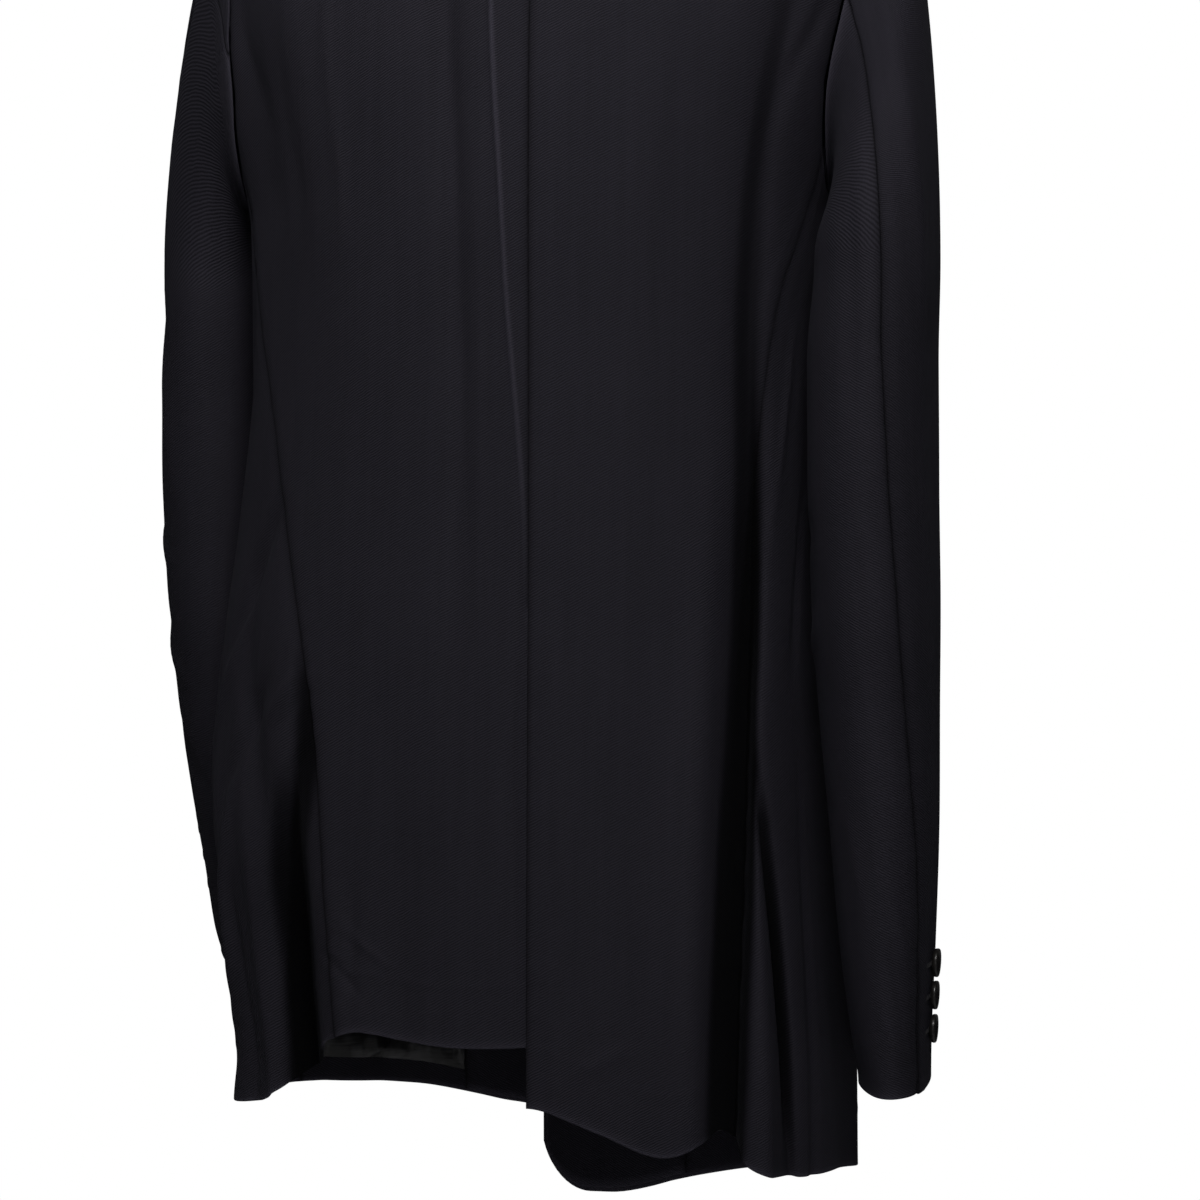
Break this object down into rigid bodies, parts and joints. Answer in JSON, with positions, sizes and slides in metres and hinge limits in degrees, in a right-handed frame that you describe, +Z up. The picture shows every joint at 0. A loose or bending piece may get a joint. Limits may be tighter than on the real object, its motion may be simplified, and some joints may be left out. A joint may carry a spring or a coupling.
{
  "type": "tailored jacket",
  "caption": "Black tailored jacket, filled out and hollow, with lapels, two-piece sleeves, buttoned cuffs and a centre back vent.",
  "frame": {"origin": "the middle of the neck opening at the height of the nape, where the jacket is held", "axes": "+Z up, the back faces +Y and the front faces -Y, the wearer's left is +X"},
  "size_m": [0.453, 0.3435, 0.8361],
  "materials": {
    "cloth": "matt black wool twill",
    "lining": "glossy black satin",
    "button": "satin black"
  },
  "bodies": {
    "root": {"back_left": "cloth", "back_right": "cloth", "collar": "cloth", "collar_stand": "cloth", "cuff_button_left_1": "button", "cuff_button_left_2": "button", "cuff_button_left_3": "button", "cuff_button_right_1": "button", "cuff_button_right_2": "button", "cuff_button_right_3": "button", "facing_left": "cloth", "facing_right": "cloth", "front_button_1": "button", "front_button_2": "button", "front_left": "cloth", "front_right": "cloth", "lapel_left": "cloth", "lapel_right": "cloth", "lining_left": "lining", "lining_right": "lining", "pocket_flap_left": "cloth", "pocket_flap_right": "cloth", "side_left": "cloth", "side_right": "cloth", "sleeve_top_left": "cloth", "sleeve_top_right": "cloth", "sleeve_under_left": "cloth", "sleeve_under_right": "cloth"}
  },
  "joints": []
}
